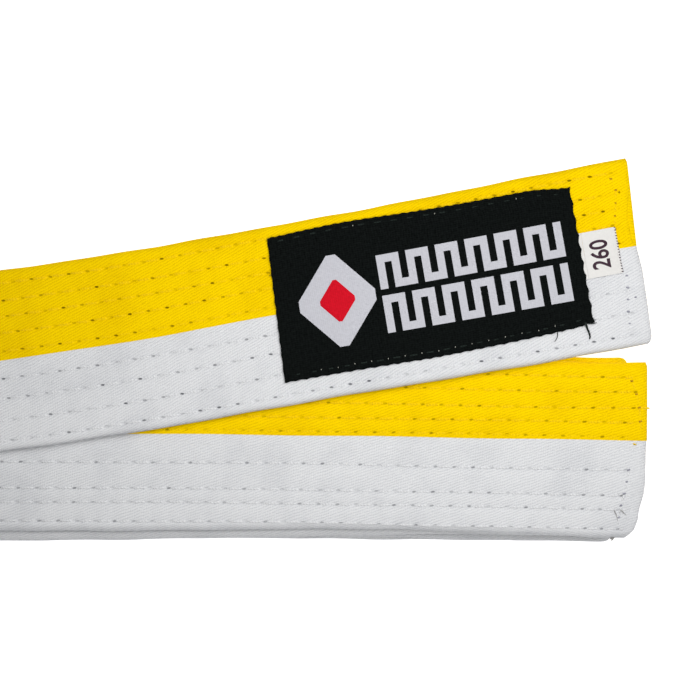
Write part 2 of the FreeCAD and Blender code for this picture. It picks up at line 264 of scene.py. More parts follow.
def clothHeight(u, v, row, phase, seam, side, face):
    # how far the cloth stands out from the belt's middle
    hole = (phase - np.round(phase)) * beltSettings["stitchPitch"]
    sewn = np.clip((np.minimum(u, beltLength - u) - quilting["endSeamAt"]) / 1.5, 0, 1)
    off = v - row
    height = halfThick - 0.06 + quilting["puff"] * (1 - np.exp(-((off / 1.4) ** 2)))
    height = height - sewn * quilting["groove"] * np.exp(-((off / quilting["grooveWidth"]) ** 2))
    height = height - sewn * quilting["dimple"] * np.exp(-((off / 0.65) ** 2) - ((hole / 0.8) ** 2))
    height = height + 0.025 * np.sin(u / 5.1 + v * 0.9) * np.sin(v / 2.3 + u / 23.0)
    height = height + 0.02 * np.sin(u / 17.0 + face + v / 6.0)
    hem = np.abs(v - seam)
    if side == "yellow":
        return height + quilting["hemRise"] * np.exp(-((hem / 2.2) ** 2)) * np.minimum(1.0, hem / 0.3)
    return height - 0.10 * np.exp(-((hem / 1.2) ** 2))


def stationRows(side):
    # the row that each place across the cloth belongs to
    numbers = rowNumbers[side]
    found = []
    for index in range(len(numbers) + 1):
        near, far = numbers[max(index - 1, 0)], numbers[min(index, len(numbers) - 1)]
        found += [near, near, far, far]
    return np.array(found + [numbers[-1]])


def coverRings(u, side):
    # one cover's closed outlines: front, rounded edge, back, and the inside of the cloth
    sign = 1 if side == "yellow" else -1
    rows, seam = rowsAt(u), seamAt(u)
    shoulder = sign * (edgeAt(u, side) - quilting["edgeRound"])
    anchors = np.column_stack([seam] + [rows[:, number] for number in rowNumbers[side]] + [shoulder])
    places = []
    for index in range(anchors.shape[1] - 1):
        near, far = anchors[:, index], anchors[:, index + 1]
        step = sign * np.minimum(0.5, np.abs(far - near) / 4)
        places += [near, near + step, (near + far) / 2, far - step]
    places = np.column_stack(places + [anchors[:, -1]])
    numbers = stationRows(side)
    phases = u[:, None] / beltSettings["stitchPitch"] + rowPhases[numbers]
    across = (u[:, None], places, rows[:, numbers], phases, seam[:, None], side)
    front, back = clothHeight(*across, 1), clothHeight(*across, -1)
    reach, cloth = quilting["edgeRound"], beltSettings["coverThickness"]
    lining = halfThick - cloth
    edgeV = shoulder[:, None] + sign * reach * np.cos(edgeAngles)
    edgeH = np.where(edgeAngles > 0, front[:, -1:], back[:, -1:]) * np.sin(edgeAngles)
    inner = shoulder + sign * (reach - cloth)
    level = np.full_like(u, lining)
    insideV = np.column_stack([seam, shoulder, inner, inner, shoulder, seam])
    insideH = np.column_stack([-level, -level, -0.4 * level, 0.4 * level, level, level])
    v = np.hstack([places, edgeV, places[:, ::-1], insideV])
    h = np.hstack([front, edgeH, -back[:, ::-1], insideH])
    closing = np.clip(np.minimum(u, beltLength - u) / 1.3, 0, 1)
    return v, h * np.maximum(0.12, np.sqrt(1 - (1 - closing) ** 2))[:, None], rows


def stopsAlong(parts, coarse=0.0, shortBy=0.0):
    # places along the belt to make an outline at, closer together in the folds and at the ends
    stops = []
    for part in parts:
        wanted = coarse or beltSettings["stitchPitch"] / (4 if part["name"] in ("labelled", "run2") else 3)
        if part["kind"] == "turn":
            wanted = min(wanted, part["radius"] * 0.22)
        stops += list(np.linspace(part["from"], part["to"], max(6, round(part["length"] / wanted)) + 1))
    stops = np.array(stops)
    stops = stops[np.concatenate([[True], np.diff(stops) > 1e-6])]
    nearEnd = np.array([0.0, 0.08, 0.25, 0.5, 0.85])
    if shortBy:
        return np.clip(stops, shortBy, beltLength - shortBy)
    if stops[0] < 1e-6:
        stops = np.concatenate([nearEnd, stops[stops > 1.2]])
    if stops[-1] > beltLength - 1e-6:
        stops = np.concatenate([stops[stops < beltLength - 1.2], beltLength - nearEnd[::-1]])
    return stops


def makePiece(name, points, faces, material, cloth=None, stitch=None, smoothAngle=55):
    # cloth holds each point's place on the cloth, stitch each face corner's place by its nearest stitch
    mesh = bpy.data.meshes.new(name)
    mesh.from_pydata(np.asarray(points).tolist(), [], faces)
    if cloth is not None:
        corners = [corner for face in faces for corner in face]
        places = np.asarray(cloth, np.float32)[corners]
        mesh.uv_layers.new(name="cloth").data.foreach_set("uv", places.ravel())
    if stitch is not None:
        mesh.uv_layers.new(name="stitch").data.foreach_set("uv", np.asarray(stitch, np.float32).ravel())
    piece = bpy.data.objects.new(name, mesh)
    bpy.context.scene.collection.objects.link(piece)
    shaped = bmesh.new()
    shaped.from_mesh(mesh)
    bmesh.ops.recalc_face_normals(shaped, faces=shaped.faces)
    shaped.to_mesh(mesh)
    shaped.free()
    mesh.shade_smooth()
    mesh.set_sharp_from_angle(angle=math.radians(smoothAngle))
    mesh.materials.append(material)
    return piece


def ringFaces(count, size):
    # the side faces between rings of points, each one's place in its ring, and the two end caps
    ring, spot = np.meshgrid(np.arange(count - 1), np.arange(size), indexing="ij")
    following = (spot + 1) % size
    quads = np.stack([ring * size + spot, (ring + 1) * size + spot, (ring + 1) * size + following,
                      ring * size + following], axis=-1)
    caps = np.array([range(size), range((count - 1) * size, count * size)])
    return quads.reshape(-1, 4), spot.ravel(), caps


def coverPiece(name, chains, side, material):
    # one cover along some stretches of the belt, each a closed shell with quilted faces
    sign = 1 if side == "yellow" else -1
    numbers = stationRows(side)
    stations = len(numbers)
    outer = 2 * stations + len(edgeAngles)
    pitch = beltSettings["stitchPitch"]
    points, faces, cloth, stitch, start, length = [], [], [], [], 0, 0.0
    for chain in chains:
        u = stopsAlong([partNamed[item] for item in chain])
        v, h, rows = coverRings(u, side)
        count, size = v.shape
        points.append(placeOnBelt(u[:, None], v, h).reshape(-1, 3))
        rim = halfWidth + 0.8
        around = np.hstack([v[:, :stations], np.tile(sign * (rim - edgeAngles * 1.45), (count, 1)),
                            sign * 2 * rim - v[:, outer - stations:]])
        cloth.append(np.stack([np.repeat(u, size), around.ravel()], axis=-1))
        quads, spot, caps = ringFaces(count, size)
        quadRow = np.full(size, -1)
        quadRow[:stations - 1] = numbers[:-1]
        quadRow[outer - stations:outer - 1] = numbers[:-1][::-1]
        row = quadRow[spot]
        ringOf, spotOf = quads // size, quads % size
        distance = v[ringOf, spotOf] - rows[ringOf, row[:, None]]
        phase = u[ringOf] / pitch + rowPhases[row][:, None] + 700.0 * row[:, None]
        nearEnd = np.minimum(u, beltLength - u)[ringOf].max(axis=1) < quilting["endSeamAt"]
        plain = (row < 0)[:, None] | nearEnd[:, None]
        placed = np.stack([np.where(plain, 0.5, phase), np.where(plain, 9.0, distance)], axis=-1)
        stitch += [placed.reshape(-1, 2), np.tile([0.5, 9.0], (2 * size, 1))]
        faces += (quads + start).tolist() + (caps + start).tolist()
        start += count * size
        length += u[-1] - u[0]
    points, cloth, stitch = (np.concatenate(item) for item in (points, cloth, stitch))
    return makePiece(name, points, faces, material, cloth, stitch), length


def corePiece(name, chains, plies, material):
    # the stiffening inside the covers: the front ply, the back ply or both together
    points, faces, cloth, start, length = [], [], [], 0, 0.0
    lining = halfThick - beltSettings["coverThickness"] - 0.03
    for chain in chains:
        u = stopsAlong([partNamed[item] for item in chain], 4.0, shortBy=2.0)
        yellowEdge = edgeAt(u, "yellow") - quilting["edgeRound"]
        whiteEdge = edgeAt(u, "white") - quilting["edgeRound"]
        reach = quilting["edgeRound"] - beltSettings["coverThickness"] - 0.03
        high = [(-whiteEdge - reach, 0.4), (-whiteEdge, 1.0), (yellowEdge, 1.0), (yellowEdge + reach, 0.4)]
        low = [(place, -share) for place, share in reversed(high)]
        middle = 0.02 if plies != "both" else 0.0
        if plies == "front":
            low = [(yellowEdge + reach, middle), (-whiteEdge - reach, middle)]
        if plies == "back":
            high = [(-whiteEdge - reach, -middle), (yellowEdge + reach, -middle)]
        v = np.column_stack([place for place, _ in high + low])
        h = np.tile([share * lining for _, share in high + low], (len(u), 1))
        count, size = v.shape
        points.append(placeOnBelt(u[:, None], v, h).reshape(-1, 3))
        quads, _, caps = ringFaces(count, size)
        cloth.append(np.stack([np.repeat(u, size), v.ravel()], axis=-1))
        faces += (quads + start).tolist() + (caps + start).tolist()
        start += count * size
        length += u[-1] - u[0]
    points, cloth = np.concatenate(points), np.concatenate(cloth)
    return makePiece(name, points, faces, material, cloth, smoothAngle=30), length


# one stitch, modelled once: a short capsule of thread that dives into its holes
stitchShape = {"gap": 0.7, "width": 0.46, "rise": 0.30, "slant": 0.10, "sink": 0.30}


def modelStitch():
    bpy.ops.object.select_all(action="DESELECT")
    bpy.ops.mesh.primitive_uv_sphere_add(segments=6, ring_count=5, radius=0.5,
                                         rotation=(0, math.radians(90), 0))
    capsule = bpy.context.object
    bpy.ops.object.transform_apply(location=True, rotation=True, scale=True)
    bpy.ops.object.mode_set(mode="EDIT")
    bpy.ops.mesh.select_all(action="SELECT")
    bpy.ops.transform.resize(value=(1.0, stitchShape["width"], stitchShape["rise"]))
    bpy.ops.object.mode_set(mode="OBJECT")
    shape = np.array([corner.co for corner in capsule.data.vertices])
    polygons = [list(polygon.vertices) for polygon in capsule.data.polygons]
    bpy.data.objects.remove(capsule)
    shape[:, 0] = np.sign(shape[:, 0]) * np.abs(shape[:, 0] * 2) ** 0.6 / 2  # fuller towards its ends
    return shape, polygons


stitchPoints, stitchFaces = modelStitch()


def stitchPiece(name, stitches, material, height=halfThick - 0.02 - quilting["groove"], thickness=1.0):
    # stitches: rows of (u from, v from, u to, v to, face), copied from the one capsule
    made = np.array(stitches, float)
    middle = (made[:, :2] + made[:, 2:4]) / 2
    reach = made[:, 2:4] - made[:, :2]
    length = np.linalg.norm(reach, axis=1)[:, None]
    way = reach / length
    x = stitchPoints[None, :, 0] * length
    y, z = stitchPoints[None, :, 1] * thickness, stitchPoints[None, :, 2] * thickness
    u = middle[:, :1] + x * way[:, :1] - y * way[:, 1:]
    v = middle[:, 1:] + x * way[:, 1:] + y * way[:, :1]
    proud = 0.05 * np.clip((u - partNamed["labelled"]["to"]) / 40, 0, 1) - 0.03
    dive = stitchShape["sink"] * (2 * np.abs(stitchPoints[None, :, 0])) ** 4
    points = placeOnBelt(u, v, made[:, 4:5] * (height + proud + z - dive)).reshape(-1, 3)
    size = len(stitchPoints)
    faces = [[corner + size * index for corner in face] for index in range(len(made)) for face in stitchFaces]
    return makePiece(name, points, faces, material, smoothAngle=80)


def rowStitches(chain, side, ends):
    # the running stitches of every row of one colour on both faces, along some stretches of the belt
    first = max(partNamed[chain[0]]["from"], ends)
    last = min(partNamed[chain[-1]]["to"], beltLength - ends)
    pitch, gap = beltSettings["stitchPitch"], stitchShape["gap"]
    found = []
    for number in rowNumbers[side]:
        counts = np.arange(math.ceil(first / pitch + rowPhases[number]),
                           math.floor(last / pitch + rowPhases[number]) + 1)
        holes = (counts - rowPhases[number]) * pitch
        for face in (1, -1):
            starts = holes if first > ends or len(holes) < 2 else holes[:-1]
            begin, finish = starts + gap / 2, np.minimum(starts + pitch - gap / 2, beltLength - ends)
            keep = finish - begin > 1.0
            begin, finish = begin[keep], finish[keep]
            slant = stitchShape["slant"]
            before, after = rowsAt(begin)[:, number] - slant, rowsAt(finish)[:, number] + slant
            found += np.column_stack([begin, before, finish, after, np.full(len(begin), face)]).tolist()
    return found


def columnStitches(line, count, flip):
    # a column of stitches across the belt's end, along a broken line of (distance from the end, place across)
    places = np.array(line, float)
    reach = np.concatenate([[0], np.cumsum(np.linalg.norm(np.diff(places, axis=0), axis=1))])
    stops = np.linspace(0, reach[-1], count + 1)
    found = []
    for face in (1, -1):
        for low, high in zip(stops, stops[1:]):
            gap = min(0.35, (high - low) * 0.15)
            pair = [(np.interp(stop, reach, places[:, 0]), np.interp(stop, reach, places[:, 1]))
                    for stop in (low + gap, high - gap)]
            ends = [(beltLength - back if flip else back, across) for back, across in pair]
            found.append([*ends[0], *ends[1], face])
    return found


# materials

clothLooks = {
    "twillPitch": 0.60,  # between the ribs of the twill
    "knotPitch": 0.55,  # between the floats along a rib
    "twillAngle": math.radians(20),
    "holeLength": 0.46,
    "holeWidth": 0.22,
    # painted shade: how far the cloth darkens towards the belt's rounded edges, standing for the shade along
    # the sides and between the layers
    "paintedEdgeShade": 0.30,
    "bump": 0.00007,
}


def feed(place, amount):
    # a socket takes another socket's result or a plain value
    if hasattr(amount, "links"):
        place.id_data.links.new(amount, place)
    else:
        place.default_value = amount


def calc(operation, *values):
    tree = next(amount.id_data for amount in values if hasattr(amount, "links"))
    node = tree.nodes.new("ShaderNodeMath")
    node.operation = operation
    for place, amount in zip(node.inputs, values):
        feed(place, amount)
    return node.outputs[0]


def wave(angle):
    return calc("MULTIPLY_ADD", calc("SINE", angle), 0.5, 0.5)


def diagonal(along, across, angle, pitch):
    # the angle that a wave of this pitch has reached, its crests lying askew to the belt
    return calc("ADD", calc("MULTIPLY", along, math.sin(angle) * 2 * math.pi / pitch),
                calc("MULTIPLY", across, math.cos(angle) * 2 * math.pi / pitch))


def mixColours(factor, base, over):
    node = factor.id_data.nodes.new("ShaderNodeMix")
    node.data_type = "RGBA"
    feed(node.inputs[0], factor)
    for place, colour in ((6, base), (7, over)):
        feed(node.inputs[place], colour if hasattr(colour, "links") else (*colour, 1))
    return node.outputs[2]


def noiseAt(place, scale, detail):
    node = place.id_data.nodes.new("ShaderNodeTexNoise")
    node.noise_dimensions = "2D"
    for name, amount in (("Vector", place), ("Scale", scale), ("Detail", detail)):
        feed(node.inputs[name], amount)
    return node.outputs["Fac"]


def ramp(amount, low, high, start=0.0, finish=1.0):
    node = amount.id_data.nodes.new("ShaderNodeMapRange")
    node.interpolation_type = "SMOOTHSTEP"
    names = ("Value", "From Min", "From Max", "To Min", "To Max")
    for name, number in zip(names, (amount, low, high, start, finish)):
        feed(node.inputs[name], number)
    return node.outputs["Result"]


def newMaterial(name, roughness, sheen=0.0):
    material = bpy.data.materials.new(name)
    material.use_nodes = True
    shader = material.node_tree.nodes["Principled BSDF"]
    for place, amount in (("Roughness", roughness), ("Specular IOR Level", 0.03), ("Sheen Weight", sheen),
                          ("Sheen Roughness", 0.5)):
        shader.inputs[place].default_value = amount
    return material, material.node_tree, shader


def addBump(shader, height, distance):
    bump = height.id_data.nodes.new("ShaderNodeBump")
    bump.inputs["Distance"].default_value = distance
    bump.inputs["Strength"].default_value = 1.0
    feed(bump.inputs["Height"], height)
    feed(shader.inputs["Normal"], bump.outputs["Normal"])


def uvPlaces(tree, name):
    node = tree.nodes.new("ShaderNodeUVMap")
    node.uv_map = name
    split = tree.nodes.new("ShaderNodeSeparateXYZ")
    feed(split.inputs[0], node.outputs["UV"])
    return node.outputs["UV"], split.outputs["X"], split.outputs["Y"]


def makeCloth(name, colour, deep, hole, holeShadeStrength, sewn=True):
    # heavy cotton twill: diagonal ribs and worn patches, with painted shade towards the rounded edges, along
    # the quilting grooves and in the needle holes along the rows
    material, tree, shader = newMaterial(name, 0.9)
    place, along, across = uvPlaces(tree, "cloth")
    angle = clothLooks["twillAngle"]
    ribs = calc("ADD", diagonal(along, across, angle, clothLooks["twillPitch"]),
                calc("MULTIPLY", noiseAt(place, 0.35, 3.0), 5.0))
    rib = wave(ribs)
    knot = wave(calc("ADD", diagonal(along, across, angle + math.pi / 2, clothLooks["knotPitch"]),
                     calc("MULTIPLY", ribs, 0.5)))
    fine = noiseAt(place, 2.6, 2.0)
    patches = noiseAt(place, 0.09, 3.0)
    valley = calc("MULTIPLY", ramp(rib, 0.40, 0.0), ramp(fine, 0.25, 0.55))
    shade = calc("ADD", calc("MULTIPLY", valley, 0.54), ramp(patches, 0.42, 0.75, 0.0, 0.20))
    shade = calc("ADD", shade, ramp(knot, 0.35, 0.0, 0.0, 0.08))
    # painted shade: the cloth darkens towards both rounded edges of the belt and fades again past the rim
    fromMiddle = calc("ABSOLUTE", across)
    edge = ramp(fromMiddle, halfWidth - 1.0, halfWidth + 1.2, 0.0, clothLooks["paintedEdgeShade"])
    shade = calc("ADD", shade, calc("MULTIPLY", edge, ramp(fromMiddle, halfWidth + 3.4, halfWidth + 1.0)))
    height = calc("ADD", calc("MULTIPLY", rib, 0.75), calc("MULTIPLY", knot, 0.25))
    height = calc("ADD", height, calc("MULTIPLY", fine, 0.5))
    if sewn:
        _, phase, distance = uvPlaces(tree, "stitch")
        number = calc("ROUND", phase)
        offset = calc("MULTIPLY", calc("SUBTRACT", phase, number), beltSettings["stitchPitch"])
        noise = tree.nodes.new("ShaderNodeTexWhiteNoise")
        noise.noise_dimensions = "1D"
        feed(noise.inputs["W"], number)
        # painted shade: each needle hole is darkened towards the hole colour by a random amount, less so
        # further along the belt
        lengthShare = calc("POWER", calc("DIVIDE", offset, clothLooks["holeLength"]), 2)
        askew = calc("MULTIPLY_ADD", offset, -0.12, distance)
        widthShare = calc("POWER", calc("DIVIDE", askew, clothLooks["holeWidth"]), 2)
        inside = ramp(calc("ADD", lengthShare, widthShare), 1.5, 0.2)
        dark = calc("MULTIPLY", inside, ramp(noise.outputs["Value"], 0.1, 1.0, *holeShadeStrength))
        dark = calc("MULTIPLY", dark, ramp(along, 400.0, 2200.0, 1.0, 0.7))
        # painted shade: the cloth darkens along each row of stitches, in its quilting groove
        shade = calc("ADD", shade, ramp(calc("ABSOLUTE", distance), 0.9, 0.1, 0.0, 0.12))
        height = calc("SUBTRACT", height, calc("MULTIPLY", inside, 1.5))
    base = mixColours(calc("MINIMUM", shade, 1.0), colour, deep)
    if sewn:
        base = mixColours(dark, base, hole)
    feed(shader.inputs["Base Color"], base)
    addBump(shader, height, clothLooks["bump"])
    return material


def makeYarn(name, colour, deep, twist=900.0):
    # thread: twisted fibres, darker between the plies
    material, tree, shader = newMaterial(name, 0.6, 0.2)
    fibres = tree.nodes.new("ShaderNodeTexWave")
    fibres.bands_direction = "DIAGONAL"
    fibres.inputs["Scale"].default_value = twist
    fibres.inputs["Distortion"].default_value = 2.0
    feed(fibres.inputs["Vector"], tree.nodes.new("ShaderNodeTexCoord").outputs["Object"])
    feed(shader.inputs["Base Color"], mixColours(calc("MULTIPLY", fibres.outputs["Fac"], 0.6), colour, deep))
    addBump(shader, fibres.outputs["Fac"], 0.00005)
    return material


def makeWoven(name, colour, deep, lines, roughness, sheen):
    # a finely woven ribbon or label: close ribs across it and a soft speckle
    material, tree, shader = newMaterial(name, roughness, sheen)
    place, along, across = uvPlaces(tree, "cloth")
    turns = 2 * math.pi / lines
    weft, warp = wave(calc("MULTIPLY", across, turns)), wave(calc("MULTIPLY", along, turns / 1.3))
    weave = calc("ADD", calc("MULTIPLY", weft, 0.6), calc("MULTIPLY", warp, 0.4))
    shade = calc("MULTIPLY", calc("ADD", calc("MULTIPLY", weave, 0.5), noiseAt(place, 1.6, 3.0)), 0.75)
    feed(shader.inputs["Base Color"], mixColours(calc("MINIMUM", shade, 1.0), colour, deep))
    addBump(shader, weave, 0.00005)
    return material


# each cloth's third colour and its two strengths are the painted shade inside its needle holes
cloths = {
    "yellow": makeCloth("yellow_twill", (0.95, 0.65, 0.0), (0.68, 0.40, 0.0), (0.16, 0.09, 0.0),
                        (0.12, 0.95)),
    "white": makeCloth("white_twill", (0.735, 0.74, 0.75), (0.48, 0.49, 0.52), (0.10, 0.105, 0.12),
                       (0.05, 0.95)),
}
coreCloth = makeCloth("core_canvas", (0.62, 0.60, 0.54), (0.45, 0.43, 0.38), (0, 0, 0), (0, 0), sewn=False)
yarns = {
    "yellow": makeYarn("yellow_thread_yarn", (0.96, 0.66, 0.0), (0.78, 0.48, 0.0)),
    "white": makeYarn("white_thread_yarn", (0.76, 0.765, 0.775), (0.58, 0.585, 0.60)),
    "black": makeYarn("black_thread_yarn", (0.016, 0.024, 0.020), (0.002, 0.003, 0.003)),
    "pale": makeYarn("pale_speck_yarn", (0.42, 0.42, 0.36), (0.30, 0.30, 0.26)),
    # grey thread for the frayed ends, also used for two thread pieces whose grey is painted shade
    "grey": makeYarn("frayed_thread_and_shade_yarn", (0.34, 0.33, 0.31), (0.16, 0.155, 0.15)),
}
# painted shade: dark brown and grey materials for the small pieces laid over the end columns' needle holes,
# standing for the shade inside the holes
paintedHoleShades = {
    "yellow": makeYarn("yellow_needle_hole_shade", (0.52, 0.28, 0.005), (0.36, 0.18, 0.003), 500.0),
    "white": makeYarn("white_needle_hole_shade", (0.34, 0.34, 0.39), (0.20, 0.20, 0.24), 500.0),
}
labelWeave = makeWoven("label_weave", (0.0088, 0.0112, 0.0105), (0.0004, 0.0006, 0.0006), 0.45, 0.9, 0.0)
labelGrey = makeWoven("label_light_weave", (0.60, 0.60, 0.645), (0.46, 0.46, 0.50), 0.35, 0.55, 0.1)
labelRed = makeWoven("label_red_weave", (0.70, 0.005, 0.02), (0.50, 0.003, 0.012), 0.35, 0.55, 0.1)
tagWeave = makeWoven("tag_satin", (0.80, 0.785, 0.76), (0.72, 0.705, 0.68), 0.25, 0.5, 0.1)
tagInk = makeWoven("tag_print", (0.045, 0.022, 0.035), (0.075, 0.045, 0.06), 0.25, 0.6, 0.0)
print("materials made")


# camera, light and floor

studio = {
    "aim": (0.0947, 0.0211),
    "cameraHeight": 1.1,
    "lens": 248.3,
    "keyPlace": (0.125, 0.05, 0.23),
    "keyPower": 0.42,
    "keySize": 0.16,
    "fillPlace": (0.50, -0.05, 0.40),
    "fillPower": 0.30,
    "fillSize": 0.3,
    "skyStrength": 0.24,
    "floorGlow": 0.85,
}
scene = bpy.context.scene
scene.view_settings.view_transform = "Standard"
cameraData = bpy.data.cameras.new("camera")
cameraData.lens = studio["lens"]
cameraData.clip_end = 20
camera = bpy.data.objects.new("camera", cameraData)
camera.location = (*studio["aim"], studio["cameraHeight"])
scene.collection.objects.link(camera)
scene.camera = camera


def addPanel(name, place, size, power):
    # a square soft light aimed at the belt
    data = bpy.data.lights.new(name, "AREA")
    data.size = size
    data.energy = power
    light = bpy.data.objects.new(name, data)
    light.location = place
    light.visible_camera = False
    light.rotation_euler = (Vector(place) - Vector((*studio["aim"], 0.02))).to_track_quat("Z", "Y").to_euler()
    scene.collection.objects.link(light)


addPanel("key_panel", studio["keyPlace"], studio["keySize"], studio["keyPower"])
addPanel("fill_panel", studio["fillPlace"], studio["fillSize"], studio["fillPower"])
world = bpy.data.worlds.new("studio_sky")
scene.world = world
world.use_nodes = True
world.node_tree.nodes["Background"].inputs["Color"].default_value = (1, 1, 1, 1)
world.node_tree.nodes["Background"].inputs["Strength"].default_value = studio["skyStrength"]

bpy.ops.object.select_all(action="DESELECT")
bpy.ops.mesh.primitive_plane_add(size=8, location=(0, 0, -0.0004))
floor = bpy.context.object
floor.name = "floor"
floorPaint, _, floorShader = newMaterial("pale_floor", 0.9)
floorShader.inputs["Base Color"].default_value = (0.85, 0.85, 0.85, 1)
floorShader.inputs["Emission Color"].default_value = (1, 1, 1, 1)
floorShader.inputs["Emission Strength"].default_value = studio["floorGlow"]
floor.data.materials.append(floorPaint)


# the belt, stretch by stretch

def fixPiece(piece, holder, nodes=()):
    if isinstance(holder, str):
        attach(piece, holder)
    else:
        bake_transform(piece)
    if nodes:
        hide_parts(*nodes)
    return piece


def foldHolder(lowBody, highBody, x, lowLayer, highLayer):
    # the fold turns between the top of its lower layer and the underside of its upper one
    reach = halfThick + 0.17
    return (lowBody, highBody, (x * mm, 0, (layerHeight(lowLayer) + reach) * mm),
            (x * mm, 0, (layerHeight(highLayer) - reach) * mm))


lowerChain = ["run5", "fold58", "run8", "middleFold", "run7", "fold76", "run6"]
stretches = {
    "lower": ([lowerChain], "lower_runs", "lower", ()),
    "upper": ([["run4"], ["run3", "fold32", "run2"]], "upper_runs", "upper", ("lower",)),
    "labelled": ([["labelled"]], "labelled_end", "labelled", ("upper",)),
    "outer_fold": ([["outerFold"]], foldHolder("lower_runs", "upper_runs", rightX, 6, 3), "right_fold", ()),
    "inner_fold": ([["innerFold"]], foldHolder("lower_runs", "upper_runs", rightX, 5, 4), "right_fold", ()),
    "side_fold": ([["leftFold"]], foldHolder("upper_runs", "labelled_end", labelledLeftX, 4, 1),
                  "left_fold", ()),
}
for name, (chains, holder, node, below) in stretches.items():
    isFold = name.endswith("_fold")
    for ply in ["both"] if isFold else ["front", "back"]:
        core, length = corePiece(name + "_canvas_" + ply, chains, ply, coreCloth)
        fixPiece(core, holder, [node + "_core" if isFold else node + "_" + ply + "_ply"])
    for side in ("yellow", "white"):
        cover, length = coverPiece(name + "_" + side + "_cloth", chains, side, cloths[side])
        fixPiece(cover, holder, [node + "_" + side + "_cover"])
        stitches = [stitch for chain in chains for stitch in rowStitches(chain, side, quilting["endSeamAt"])]
        thread = stitchPiece(name + "_" + side + "_stitches", stitches, yarns[side])
        fixPiece(thread, holder, [] if isFold else [node + "_" + side + "_thread"])
        print(name, side, round(length), "mm,", len(stitches), "stitches")


# end stitching: columns across the rows of each colour, closing the belt's ends, as (broken line, stitches)

endColumns = {
    "labelled_end": {
        "yellow": [([(3.9, 16.6), (3.0, 14.6), (3.1, 9.5), (3.6, 5.4), (5.2, 3.9)], 5)],
        "white": [([(3.5, -4.4), (3.8, -8.2), (4.4, -12.2), (4.6, -17.2)], 5),
                  ([(2.4, -9.3), (2.6, -13.6)], 1)],
    },
    "plain_end": {
        "yellow": [([(3.4, 15.6), (2.0, 11.4), (1.7, 9.0), (1.3, 3.6)], 4)],
        "white": [([(3.6, -4.2), (4.3, -9.0), (4.6, -12.6), (4.8, -17.4)], 5)],
    },
}
needleHoleShade = {"reach": 0.40, "slant": (-0.12, 0.10), "thickness": 0.95}
for end, holder in (("labelled_end", "labelled_end"), ("plain_end", "upper_runs")):
    for colour, columns in endColumns[end].items():
        stitches = []
        for line, count in columns:
            stitches += columnStitches(line, count, end == "plain_end")
        column = stitchPiece(end + "_" + colour + "_column", stitches, yarns[colour], halfThick - 0.08)
        fixPiece(column, holder, [end + "_stitching"])
        # painted shade: a small dark piece at one end of each end stitch, standing for the shade in its
        # needle hole
        reach, (before, after) = needleHoleShade["reach"], needleHoleShade["slant"]
        dots = [[u - reach, v + before, u + reach, v + after, face] for u, v, _, _, face in stitches]
        holes = stitchPiece(end + "_" + colour + "_needle_hole_shades", dots, paintedHoleShades[colour], halfThick,
                            needleHoleShade["thickness"])
        fixPiece(holes, holder)


# the woven label, sewn on near the labelled end; x runs to the end, y to the yellow edge

label = {
    "toEnd": 12.4,  # from the label's near edge to the belt's end
    "length": 68.0,
    "low": -14.6,
    "high": 16.4,
    "floor": halfThick + 0.12,
    "thick": 0.58,
    "grid": 0.4,
    "topHem": 1.0,  # the rows of stitches run this far inside the edges
    "lowHem": 1.3,
}


def placeOnLabel(x, y, h):
    return placeOnBelt(label["toEnd"] - x, y, h, shapedEnds=False)


def scallop(place, pitch, depth):
    return -depth * np.abs(np.sin(math.pi * place / pitch + 0.7 * np.sin(place / 5.3)))


def labelEdges(x, y):
    # where a point of the plain rectangle moves to, so that the label's edges wander as woven edges do
    along = (x + label["length"]) / label["length"]
    up = (y - label["low"]) / (label["high"] - label["low"])
    leftEdge = 0.55 * (up - 0.5) * 2 + scallop(y, 3.1, -0.14) - 0.75
    rightEdge = scallop(y + 1.0, 3.5, 0.36) + 0.55
    topEdge = 0.70 + 0.85 * np.exp(-(((x + 52) / 17) ** 2)) + scallop(x, 2.1, 0.16)
    topEdge = topEdge - 0.9 * smooth((x + 10) / 10)
    lowEdge = 0.10 - scallop(x + 0.5, 2.4, 0.20) - 0.25 * np.exp(-(((x + 20) / 18) ** 2))
    lowEdge = lowEdge + np.interp(x, (-68, -36, -22, -10, -4, 0), (-0.5, -0.55, 0, 0.4, 0.65, 1.15))
    return x + (1 - along) * leftEdge + along * rightEdge, y + up * topEdge + (1 - up) * lowEdge


def labelTop(x, y):
    # the height of the label's face above the belt's middle
    fromTop, fromLow = label["high"] - y, y - label["low"]
    fromSide = np.minimum(-x, x + label["length"])
    height = label["floor"] + label["thick"] + 0.05 * np.sin(x / 7.0 + 1) * np.sin(y / 5.0)
    for place in (fromTop - label["topHem"], fromLow - label["lowHem"]):
        height = height - 0.20 * np.exp(-((place / 0.35) ** 2)) * (0.6 + 0.4 * np.cos(2 * math.pi * x / 3.6))
        height = height + 0.08 * np.exp(-(((place + 0.7) / 0.5) ** 2))
    nearEdge = np.minimum(np.minimum(fromTop, fromLow), fromSide)
    return height - 0.22 * np.exp(-((nearEdge / 0.35) ** 2))


